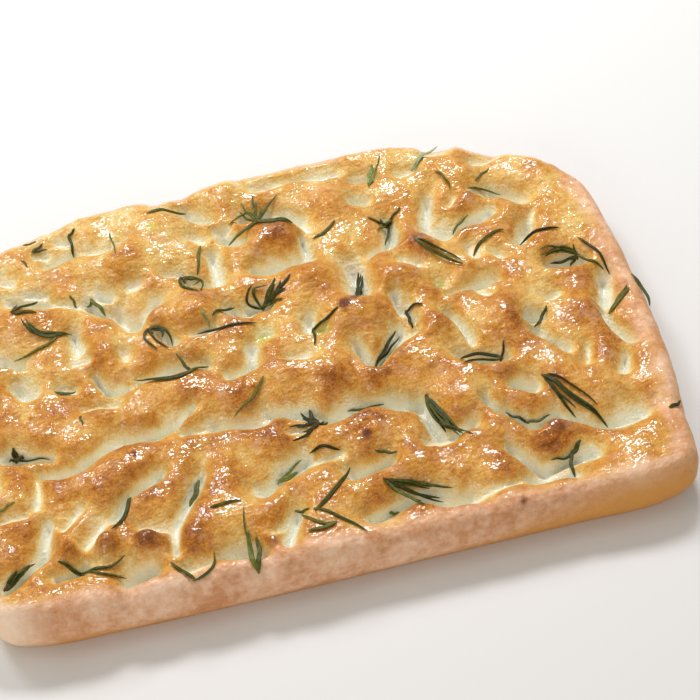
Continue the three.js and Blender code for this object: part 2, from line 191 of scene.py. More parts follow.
crustLook = {
    "bakeStops": [  # from dough that no heat reached to the darkest crests
        (0.00, tone(232, 231, 210)), (0.14, tone(237, 232, 204)), (0.28, tone(238, 226, 188)),
        (0.42, tone(234, 214, 160)), (0.56, tone(225, 185, 104)), (0.74, tone(208, 145, 59)),
        (0.90, tone(177, 107, 33)), (1.00, tone(132, 72, 20)),
    ],
    "wallStops": [
        (0.39, tone(208, 146, 100)), (0.5, tone(230, 180, 142)), (0.61, tone(243, 205, 172)),
    ],
    "footColour": tone(218, 154, 80),
    # painted light: the wall at the left corners is lightened with this colour
    "cornerLightColour": tone(255, 232, 204),
    "poolColour": tone(196, 186, 74),
    "scorchColour": tone(96, 48, 34),
    "scorchBake": 0.5,  # a scorch has baked more by this share
    "bakeGrains": [(26, 0.15), (4, 0.08), (1.0, 0.07)],  # wavelength, and share added to the baking
    "dustGrains": [(5, 4, 0.65, 0.45), (34, 2, 0.5, 0.55)],  # wavelength, detail, roughness, share
    "wallEdge": (0.02, 0.16),  # shares of the side between which the crust turns into the wall,
    "wallRagged": 0.06,  # raised or lowered by up to this much
    "crestRoughness": 0.42,
    "wallRoughness": 0.62,
    "smear": (-0.08, 0.12),  # added to the roughness
    "poolShine": 0.2,  # a pool of oil is smoother by this much
    "thinOil": 0.15,  # share of the oil where it is thinnest
    "coatRoughness": 0.06,
    "oilCoat": 1.0,
    "oilIor": 1.6,
    "specular": 0.12,
    "subsurface": 0.1,
    "subsurfaceRadius": (1.0, 0.5, 0.2),
    "subsurfaceDepth": 2.5,
    "lumps": (4.2, 1.0),  # wavelength and depth of the bumps
    "ripples": (1.8, 0.5),  # these are in the oil only
    "pimples": (1.8, 0.4),
    "skin": (0.9, 0.3),
    "stretch": (0.6, 1, 1),  # lumps and ripples are longer along X
}


def crustMaterial():
    material, tree, shader = newMaterial("oiledCrust")
    look = crustLook
    bake, oil = readLayer(tree, "bake"), readLayer(tree, "oil")
    scorch, pool, foot = (readLayer(tree, name) for name in ("scorch", "pool", "foot"))
    dusty, corner = readLayer(tree, "dusty"), readLayer(tree, "corner")

    for wavelength, share in look["bakeGrains"]:
        patch = spread(tree, grain(tree, wavelength, 3, 0.6), 0.3, 0.7, -share, share)
        bake = maths(tree, "ADD", bake, patch)
    scorched = maths(tree, "MULTIPLY", scorch, look["scorchBake"])
    bake = maths(tree, "ADD", bake, scorched, clamp=True)
    colour = ramp(tree, bake, look["bakeStops"])

    fineDust, broadDust = (
        maths(tree, "MULTIPLY", grain(tree, wavelength, detail, roughness), share)
        for wavelength, detail, roughness, share in look["dustGrains"])
    wall = ramp(tree, maths(tree, "ADD", fineDust, broadDust), look["wallStops"])
    wall = mixColour(tree, foot, wall, look["footColour"])
    # painted light on the left corners of the wall
    wall = mixColour(tree, corner, wall, look["cornerLightColour"])
    ragged = spread(tree, grain(tree, 14, 3), 0.3, 0.7, -look["wallRagged"], look["wallRagged"])
    wallShare = spread(tree, maths(tree, "ADD", dusty, ragged), *look["wallEdge"])
    colour = mixColour(tree, wallShare, colour, wall)
    colour = mixColour(tree, pool, colour, look["poolColour"])
    colour = mixColour(tree, scorch, colour, look["scorchColour"])
    tree.links.new(colour, shader.inputs["Base Color"])

    smear = spread(tree, grain(tree, 7, 3, 0.6), 0.35, 0.65, *look["smear"])
    rough = spread(tree, wallShare, 0, 1, look["crestRoughness"], look["wallRoughness"])
    rough = maths(tree, "ADD", smear, rough)
    shine = maths(tree, "MULTIPLY", pool, look["poolShine"])
    rough = maths(tree, "SUBTRACT", rough, shine, clamp=True)
    tree.links.new(rough, shader.inputs["Roughness"])
    coverage = spread(tree, grain(tree, 9, 3), 0.42, 0.6, look["thinOil"], 1)
    coat = maths(tree, "MULTIPLY", oil, coverage)
    coat = maths(tree, "MULTIPLY", coat, look["oilCoat"], clamp=True)
    tree.links.new(coat, shader.inputs["Coat Weight"])
    shader.inputs["Coat Roughness"].default_value = look["coatRoughness"]
    shader.inputs["Coat IOR"].default_value = look["oilIor"]
    shader.inputs["Specular IOR Level"].default_value = look["specular"]
    shader.inputs["Subsurface Weight"].default_value = look["subsurface"]
    shader.inputs["Subsurface Radius"].default_value = look["subsurfaceRadius"]
    shader.inputs["Subsurface Scale"].default_value = look["subsurfaceDepth"] * mm

    lumpWave, lumpDepth = look["lumps"]
    rippleWave, rippleDepth = look["ripples"]
    pimpleWave, pimpleDepth = look["pimples"]
    skinWave, skinDepth = look["skin"]
    lumps = bump(tree, grain(tree, lumpWave, 1, stretch=look["stretch"]), lumpDepth, 1)
    ripples = bump(tree, grain(tree, rippleWave, 1, stretch=look["stretch"]), rippleDepth, 1, lumps)
    pimpled = spread(tree, oil, 0, 1, 0.3, 0.9)
    pimples = bump(tree, cellsOf(tree, pimpleWave), pimpleDepth, pimpled, lumps)
    skin = bump(tree, grain(tree, skinWave, 2, 0.6), skinDepth, 0.8, pimples)
    tree.links.new(skin, shader.inputs["Normal"])
    tree.links.new(ripples, shader.inputs["Coat Normal"])
    return material


# The relief of the crust, the same as in the solid: presses of the fingers, humps and swells

outlineSides = [  # at its widest, anticlockwise from the near left; each side starts at its corner
    [[-208, -140], [-190, -148], [-140, -152], [-60, -155], [30, -157], [110, -159], [165, -160]],
    [[186, -153], [196, -118], [207, -70], [213, -15], [215, 35], [212, 80]],
    [[185, 114], [155, 132], [105, 149], [35, 154], [-50, 146], [-105, 144], [-150, 134]],
    [[-190, 117], [-208, 88], [-214, 40], [-215, -20], [-215, -80], [-214, -118]],
]

presses = {
    "lean": (0.12, 0.4),  # the floor of a press lies this share of its depth beyond its near lip
    "skew": 0.24,  # and its near wall is this much steeper
    "blend": 2.6,
    "pitCurve": 1.45,  # 2 would round the floor of a press, 1 would point it
    "girth": 0.25,  # a press swells and narrows along its length by this share
    "skirtShare": 0.27,  # each press also draws down the dough around it,
    "skirtSpread": 2.1,  # this much further out,
    "skirtSkew": 0.42,  # and more beyond it than on its near side
    "wander": (1.2, 0.9),  # a press sways from its line by this much, in two waves
    "palingDepth": 12,  # from this depth on, the floor of a press stays as pale as it can
    "kinds": [  # marks run along the near lip, from x, y to x, y
        {"reach": 6.6, "depth": 18, "marks": [  # deep hollows
            [145, -117, 167, -118], [31, -136, 54, -141], [48, -69, 52, -95], [-38, -54, -15, -62],
            [-10, -67, 17, -65], [19, -64, 44, -69], [-55, -104, -28, -93], [-107, 50, -99, 37],
            [152, 80, 163, 69], [97, 61, 109, 53], [39, 20, 44, 41], [104, -136, 132, -135],
        ]},
        {"reach": 4.8, "depth": 15.5, "marks": [  # furrows
            [-172, -60, -154, -61], [-149, -59, -122, -50], [-121, -49, -94, -46],
            [-70, -55, -44, -57], [-189, -41, -164, -46], [-202, -125, -183, -114],
            [-139, -141, -126, -138], [-86, -142, -68, -145], [-1, -139, 25, -136],
            [90, -141, 115, -144], [86, -116, 101, -133], [-5, -107, 17, -106], [59, -99, 73, -96],
            [95, -90, 105, -102], [107, -103, 121, -101], [122, -105, 141, -116],
            [104, -75, 116, -81], [83, -46, 107, -55], [25, -24, 31, -34], [33, -35, 51, -16],
            [-104, -7, -65, -7], [-53, -18, -40, -16], [-176, 5, -170, -2], [-181, 27, -174, 23],
            [-40, 27, -34, 22], [-29, 27, -20, 27], [-97, 38, -84, 46], [-40, 77, -43, 55],
            [-30, 90, -21, 82], [-14, 102, 2, 104], [11, 100, 21, 91], [-49, 118, -39, 108],
            [-18, 58, 8, 55], [57, 52, 65, 52], [68, 55, 75, 74], [97, 65, 106, 86],
            [114, 54, 140, 65], [150, 34, 158, 42], [162, 9, 181, 8], [182, -31, 189, -11],
            [-166, 73, -152, 66], [-124, 59, -113, 51], [-141, 99, -128, 99], [-61, 59, -50, 54],
        ]},
        {"reach": 3.6, "depth": 13, "marks": [  # narrow slits
            [-106, -110, -87, -87], [-110, -130, -108, -113], [-139, -102, -126, -90],
            [-124, -89, -110, -78], [-52, -140, -42, -128], [-173, -130, -159, -127],
            [-136, 38, -136, 22], [63, 0, 63, -12], [59, 9, 60, -4], [133, -39, 144, -58],
            [130, -29, 138, -29], [87, -14, 93, -35], [179, -38, 184, -62], [172, -85, 175, -75],
            [-39, -14, -35, -3], [-122, -10, -112, -9], [-127, 0, -122, -10], [-87, 25, -80, 14],
            [4, 9, 2, 0], [16, 55, 18, 74], [59, 99, 67, 95], [65, 118, 75, 116],
            [-115, 66, -110, 64], [86, -81, 94, -89], [94, 6, 124, 6], [-182, -113, -173, -93],
            [-90, -46, -81, -39],
        ]},
        {"reach": 4.2, "depth": 8, "marks": [  # shallow dents
            [-107, -141, -93, -141], [-58, -133, -40, -123], [60, -140, 83, -139],
            [-166, -95, -155, -85], [-157, -111, -147, -100], [-22, -94, -5, -92],
            [153, -67, 156, -59], [150, -14, 158, -12], [-88, -52, -77, -54], [-32, -69, -23, -70],
            [-195, -82, -183, -84], [-178, -80, -176, -61], [-142, -17, -123, -20],
            [-19, -17, -9, -19], [50, -20, 60, -19], [7, -2, 11, -4], [-150, 1, -142, -2],
            [-111, 17, -110, 15], [-68, 19, -55, 20], [-28, 6, -23, 6], [160, 45, 168, 56],
            [119, 32, 121, 40], [134, 29, 135, 26], [88, 17, 91, 16], [74, 37, 80, 32],
            [112, 1, 116, -4], [-159, 81, -148, 76], [-144, 65, -130, 61], [-96, 69, -92, 68],
            [-170, 95, -166, 93], [-118, 103, -100, 101], [-98, 102, -92, 105],
            [-132, 117, -127, 115], [-148, 110, -141, 110], [-73, 69, -65, 70], [-47, 100, -42, 94],
            [-34, 98, -26, 99], [22, 89, 25, 83], [2, 130, 30, 131], [34, 131, 58, 130],
            [94, 116, 106, 116], [146, 114, 168, 112], [-63, 126, -50, 120], [138, 88, 151, 80],
            [120, 126, 132, 127], [118, 78, 124, 84], [-7, 64, 2, 62], [43, -97, 57, -100],
            [-126, -111, -112, -113], [-139, 16, -131, 14], [-200, -62, -196, -50],
            [-204, -10, -190, -6], [-200, 44, -192, 56],
        ]},
    ],
}

humps = [  # x, y, radius, height
    [30, 5, 24, 7.5], [15, 42, 18, 7.5], [66, 27, 17, 7.5], [-10, 80, 20, 6], [88, 50, 16, 6],
    [-92, 92, 22, 7.5], [-155, 56, 22, 6], [10, 88, 16, 6], [45, 104, 18, 6], [-66, 115, 22, 6],
    [-125, 22, 18, 6], [-60, 38, 20, 6], [-84, -28, 30, 4.5], [-10, -36, 34, 4.5],
    [-130, -70, 30, 4.5], [10, -82, 28, 3], [120, -18, 22, 6], [168, -30, 18, 4.5],
    [-100, -118, 20, 4.5], [-144, -112, 10, 6], [-123, -116, 10, 6], [-163, -109, 8, 4.5],
    [-58, -132, 8, 4.5], [155, 60, 18, 3], [180, 96, 20, 3], [-16, 134, 10, 3], [75, -15, 14, 4.5],
    [150, -50, 14, 3], [-195, 20, 20, 3], [-190, -70, 20, 3],
]

swells = [  # height, wavelengths and shifts along x and y
    [1.2, 47, 39, 0.7, 0.3],
    [0.9, 19, 27, 1.9, 2.2],
]

loaf = {
    "crownHeight": 32,
    "leastHeight": 10,
    "widestHeight": 12,
    "shoulder": 12,
    "footInset": 4,
    "columns": 300,
    "rows": 218,
    "shoulderSteps": 9,
    "wallSteps": 6,
    "footHollow": 1.5,  # bends the wall inwards above the foot
    "bottomInsets": (3, 14, 50),  # of the rings of faces under the loaf, from its foot
    "lumps": [(17, 0.55), (6.5, 0.28), (2.8, 0.1)],  # wavelength and height of the uneven skin
}

crustDetail = {
    "crestBake": 0.695,
    "paling": 0.92,  # how much paler the floor of a press stays
    "palingCurve": 2.5,
    "farPaling": 0.13,  # the far side browned less
    "ridgeGain": 0.038,  # crests brown more, for each millimetre above their surroundings
    "ridgeWindow": 9,  # cells on each side that count as surroundings
    "blisters": [  # x, y, radius, height
        [-123, -117, 9, 2.0], [-144, -113, 9, 2.2], [-163, -110, 6, 1.6], [-58, -136, 6, 1.4],
        [-68, -75, 7, 1.6],
    ],
    "farSpan": (-20, 100),  # along Y, where the paler far side begins and where it is palest
    "farSpanLeft": (-150, 0),  # along X, where that paling weakens to the share it has on the right
    "farRightShare": 0.6,
    "nearRim": -137,  # nearer than this the rim is dry and dusty,
    "nearRimLean": 0.03,
    "rightRim": 23,  # and this far in from the right end,
    "rimSpan": 8,  # fading in over this width
    "rimDust": 0.12,  # brings the look of the wall onto the rim
    "rimOil": 0.5,  # share of the oil that the rim lacks
    "oilFade": (1.15, 2.2),  # oil at the crest, and how fast it fades down the side
    "cornerLightSpan": (-202, -176),  # along X, where the painted light on the left corners is strongest and where that ends
    "cornerLightShare": 0.65,
    "footEdge": (0.62, 0.36),  # share of the side where the foot's colour begins, and its fade
    "footRise": [(-160, 0.2), (-80, 0), (20, 0), (140, 0.62)],  # x, and how much sooner it begins
    "smallBlisters": 260,
    "smallBlisterRadius": (1.6, 4.2),
    "smallBlisterHeight": 0.22,  # as a share of the radius
    "smallBlisterField": (200, 142),
    "scorches": [[34, 15, 2.6], [26, 10, 3.2], [11, -83, 2.2], [-118, -60, 1.6], [80, -150, 1.8]],
    "pools": [[-25, 8, 5], [8, 1, 5], [91, 18, 3.5], [-72, 110, 3]],
}


def wander(x, y):
    first, second = presses["wander"]
    return (x + first * np.sin(y / 7 + 1) + second * np.sin(x / 11 + y / 14),
            y + first * np.sin(x / 8 + 2) + second * np.sin(y / 10 - x / 15))


def pressField(x, y):
    # the depth of the presses at x, y, and how near the floor of one is, from 0 to 1
    atX, atY = wander(x, y)
    girth = 1 + presses["girth"] * np.sin(x / 6 + y / 15) * np.sin(y / 7 - x / 18)
    leanX, leanY = presses["lean"]
    total, floorShare = np.zeros_like(x), np.zeros_like(x)
    for kind in presses["kinds"]:
        depth = kind["depth"]
        for x1, y1, x2, y2 in kind["marks"]:
            runX, runY = x2 - x1, y2 - y1
            offX, offY = atX - x1 - leanX * depth, atY - y1 - leanY * depth
            nearest = np.clip((offX * runX + offY * runY) / (runX ** 2 + runY ** 2), 0, 1)
            restX, restY = offX - nearest * runX, offY - nearest * runY
            reach = kind["reach"] * girth
            away = np.hypot(restX, restY)
            core = np.exp(-((away - presses["skew"] * restY) / reach) ** presses["pitCurve"])
            skirtReach = reach * presses["skirtSpread"]
            around = np.exp(-((away - presses["skirtSkew"] * restY) / skirtReach) ** 2)
            total += (depth * (core + presses["skirtShare"] * (around - core))) ** presses["blend"]
            floorShare = np.maximum(floorShare, core * min(1, depth / presses["palingDepth"]))
    return total ** (1 / presses["blend"]), floorShare


def crustHeight(x, y):
    height = np.full_like(x, loaf["crownHeight"])
    for size, waveX, waveY, shiftX, shiftY in swells:
        height += size * np.sin(x / waveX + shiftX) * np.cos(y / waveY + shiftY)
    for atX, atY, radius, size in humps:
        height += size * np.exp(-((x - atX) ** 2 + (y - atY) ** 2) / (0.5 * radius ** 2))
    return np.maximum(loaf["leastHeight"], height - pressField(x, y)[0])


# The loaf

def closedCurve(points, steps=40):
    # a centripetal Catmull-Rom curve through a closed ring of points, as one row of steps for each span
    p1 = np.array(points, float)
    p0, p2, p3 = np.roll(p1, 1, 0), np.roll(p1, -1, 0), np.roll(p1, -2, 0)
    d0, d1, d2 = (np.hypot(*(b - a).T)[:, None] ** 0.5 for a, b in ((p0, p1), (p1, p2), (p2, p3)))
    pull1 = ((p1 - p0) / d0 - (p2 - p0) / (d0 + d1) + (p2 - p1) / d1) * d1
    pull2 = ((p2 - p1) / d1 - (p3 - p1) / (d1 + d2) + (p3 - p2) / d2) * d1
    t = (np.arange(steps) / steps)[None, :, None]
    p1, p2, pull1, pull2 = (a[:, None, :] for a in (p1, p2, pull1, pull2))
    return (p1 + pull1 * t + (3 * (p2 - p1) - 2 * pull1 - pull2) * t ** 2
            + (2 * (p1 - p2) + pull1 + pull2) * t ** 3)


def outlineRing(counts):
    spans = closedCurve(sum(outlineSides, []))
    ring, first = [], 0
    for side, count in zip(outlineSides, counts):
        track = spans[first:first + len(side)].reshape(-1, 2)
        first += len(side)
        track = np.vstack([track, spans[first % len(spans), :1]])
        run = np.append(0, np.cumsum(np.hypot(*np.diff(track, axis=0).T)))
        goals = run[-1] * np.arange(count) / count
        ring.append(np.column_stack([np.interp(goals, run, track[:, i]) for i in (0, 1)]))
    return np.vstack(ring)


def insetRing(ring, inset):
    along = np.roll(ring, -1, 0) - np.roll(ring, 1, 0)
    inward = np.column_stack([-along[:, 1], along[:, 0]]) / np.hypot(*along.T)[:, None]
    return ring + inward * inset


def patchPoints(ring, column, row):
    # a patch of cells stretched over the ring
    columns, rows = loaf["columns"], loaf["rows"]
    across, up = (column / columns)[:, None], (row / rows)[:, None]
    near, right = ring[column], ring[(columns + row) % len(ring)]
    far, left = ring[2 * columns + rows - column], ring[(2 * columns + 2 * rows - row) % len(ring)]
    corners = ring[0], ring[columns], ring[columns + rows], ring[2 * columns + rows]
    shares = (1 - across) * (1 - up), across * (1 - up), across * up, (1 - across) * up
    return (near * (1 - up) + far * up + left * (1 - across) + right * across
            - sum(corner * share for corner, share in zip(corners, shares)))


def ringSpot(column, row):
    columns, rows = loaf["columns"], loaf["rows"]
    if row == 0:
        return column
    if column == columns:
        return columns + row
    if row == rows:
        return 2 * columns + rows - column
    return 2 * columns + 2 * rows - row


def rimSteps():
    # inset from the outline and rise from the widest height, as shares, going down from the crest
    for step in range(1, loaf["shoulderSteps"] + 1):
        fall = step / loaf["shoulderSteps"]
        turn = math.pi / 2 * (1 - fall)
        yield 0.5 * fall, loaf["shoulder"] * (1 - math.cos(turn)), math.sin(turn)
    for step in range(1, loaf["wallSteps"] + 1):
        drop = step / loaf["wallSteps"]
        yield 0.5 + 0.5 * drop, loaf["footInset"] * drop ** loaf["footHollow"], -drop
    for inset in loaf["bottomInsets"]:
        yield 1.0, loaf["footInset"] + inset, -1.0


def grownRing(bm, edges):
    # the next ring of points, and the open edges that run through it
    grown = bmesh.ops.extrude_edge_only(bm, edges=edges)["geom"]
    return ([item for item in grown if isinstance(item, bmesh.types.BMVert)],
            [item for item in grown if isinstance(item, bmesh.types.BMEdge) and item.is_boundary])


def crustShape():
    columns, rows = loaf["columns"], loaf["rows"]
    outline = outlineRing([columns, rows, columns, rows])
    crest = insetRing(outline, loaf["shoulder"])
    bm = bmesh.new()
    side = bm.verts.layers.float.new("side")
    spot = bm.verts.layers.int.new("spot")
    bmesh.ops.create_grid(bm, x_segments=columns, y_segments=rows, size=0.5)
    cells = np.array([vert.co[:2] for vert in bm.verts]) + 0.5
    column = np.rint(cells[:, 0] * columns).astype(int)
    row = np.rint(cells[:, 1] * rows).astype(int)
    spots = patchPoints(crest, column, row)
    heights = crustHeight(spots[:, 0], spots[:, 1])
    for vert, (x, y), z, i, j in zip(bm.verts, spots, heights, column.tolist(), row.tolist()):
        vert.co = (x * mm, y * mm, z * mm)
        if vert.is_boundary:
            vert[spot] = ringSpot(i, j)

    crestHeights = crustHeight(crest[:, 0], crest[:, 1])
    widest = loaf["widestHeight"]
    edges = [edge for edge in bm.edges if edge.is_boundary]
    for share, inset, rise in rimSteps():
        places = insetRing(outline, inset)
        room = crestHeights - widest if rise > 0 else np.full(len(outline), widest)
        verts, edges = grownRing(bm, edges)
        for vert in verts:
            x, y = places[vert[spot]]
            vert.co = (x * mm, y * mm, (widest + rise * room[vert[spot]]) * mm)
            vert[side] = share
    bmesh.ops.edgeloop_fill(bm, edges=edges)
    bmesh.ops.recalc_face_normals(bm, faces=bm.faces)
    return bm, (row, column)


def roughenSkin(bm):
    # uneven dough: lumps along the normals, then the blisters
    side = bm.verts.layers.float["side"]
    bm.normal_update()
    rng = random.Random(7)
    blisters = list(crustDetail["blisters"])
    fieldX, fieldY = crustDetail["smallBlisterField"]
    for number in range(crustDetail["smallBlisters"]):
        radius = rng.uniform(*crustDetail["smallBlisterRadius"])
        height = crustDetail["smallBlisterHeight"] * radius
        blisters.append([rng.uniform(-fieldX, fieldX), rng.uniform(-fieldY, fieldY), radius, height])
    places = np.array([vert.co for vert in bm.verts]) / mm
    rise = np.zeros(len(places))
    floorShare = pressField(places[:, 0], places[:, 1])[1]
    for x, y, radius, height in blisters:
        away = np.hypot(places[:, 0] - x, places[:, 1] - y) / radius
        rise += np.where(away < 1, height * (1 - away ** 2) ** 2, 0) * (1 - floorShare)
    for vert, lift in zip(bm.verts, rise):
        if vert[side] < 1:
            foot = 1 - max(0, 2 * vert[side] - 1) ** 2
            for wavelength, height in loaf["lumps"]:
                lift += height * noise.noise(vert.co / (wavelength * mm)) * foot
            vert.co += vert.normal * float(lift) * mm


def blurred(field, reach):
    for axis in (0, 1):
        padded = np.concatenate([np.repeat(np.take(field, [0], axis), reach, axis), field,
                                 np.repeat(np.take(field, [-1], axis), reach, axis)], axis)
        nothing = np.zeros_like(np.take(padded, [0], axis))
        total = np.cumsum(np.concatenate([nothing, padded], axis), axis)
        count = field.shape[axis]
        window = 2 * reach + 1
        field = (np.take(total, range(window, window + count), axis)
                 - np.take(total, range(count), axis)) / window
    return field


def nearSpots(x, y, spots):
    found = np.zeros_like(x)
    for atX, atY, radius in spots:
        found = np.maximum(found, np.exp(-((x - atX) ** 2 + (y - atY) ** 2) / radius ** 2))
    return found


def paintLayers(mesh, rowColumn):
    count = len(mesh.vertices)
    places = np.empty(3 * count, np.float32)
    mesh.vertices.foreach_get("co", places)
    x, y, z = places.reshape(-1, 3).T.astype(float) / mm
    side = np.empty(count, np.float32)
    mesh.attributes["side"].data.foreach_get("value", side)
    row, column = rowColumn
    topCount = len(row)
    grid = np.zeros((loaf["rows"] + 1, loaf["columns"] + 1))
    grid[row, column] = z[:topCount]
    ridge = np.zeros(count)
    around = blurred(blurred(grid, crustDetail["ridgeWindow"]), crustDetail["ridgeWindow"])
    ridge[:topCount] = (grid - around)[row, column]

    detail = crustDetail
    farther = np.interp(y, detail["farSpan"], (0, 1))
    farther *= np.interp(x, detail["farSpanLeft"], (1, detail["farRightShare"]))
    floorShare = pressField(x, y)[1]
    bake = (detail["crestBake"] + detail["ridgeGain"] * ridge - detail["farPaling"] * farther
            - detail["paling"] * floorShare ** detail["palingCurve"])
    rightX, rightY = zip(*outlineSides[1])
    intoRightRim = x - np.interp(y, rightY, rightX) + detail["rightRim"]
    intoNearRim = detail["nearRim"] - y - detail["nearRimLean"] * x
    rim = np.clip(np.maximum(intoRightRim, intoNearRim) / detail["rimSpan"], 0, 1)
    crestOil, oilFade = detail["oilFade"]
    footStart, footFade = detail["footEdge"]
    sooner = np.interp(x, *zip(*detail["footRise"]))
    layers = {
        "bake": np.clip(bake, 0, 1),
        "oil": np.clip(crestOil - oilFade * side, 0, 1) * (1 - detail["rimOil"] * rim),
        "dusty": side + detail["rimDust"] * rim,
        # the corner layer holds painted light: the wall at the left corners is lightened
        "corner": detail["cornerLightShare"] * np.interp(x, detail["cornerLightSpan"], (1, 0)),
        "scorch": nearSpots(x, y, detail["scorches"]),
        "pool": nearSpots(x, y, detail["pools"]),
        "foot": np.clip((side - footStart + sooner) / footFade, 0, 1),
    }
    for name, values in layers.items():
        mesh.attributes.new(name, "FLOAT", "POINT").data.foreach_set("value", values.astype(np.float32))


def addLoaf():
    bm, rowColumn = crustShape()
    roughenSkin(bm)
    mesh = bpy.data.meshes.new("bakedLoaf")
    bm.to_mesh(mesh)
    tree = BVHTree.FromBMesh(bm)
    bm.free()
    paintLayers(mesh, rowColumn)
    mesh.transform(Matrix.Translation(centring))
    mesh.shade_smooth()
    mesh.materials.append(crustMaterial())
    loafPiece = link(bpy.data.objects.new("bakedLoaf", mesh))
    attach(loafPiece, "root")
    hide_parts("focaccia")
    print("loaf:", len(mesh.vertices), "points")
    return tree


# Rosemary

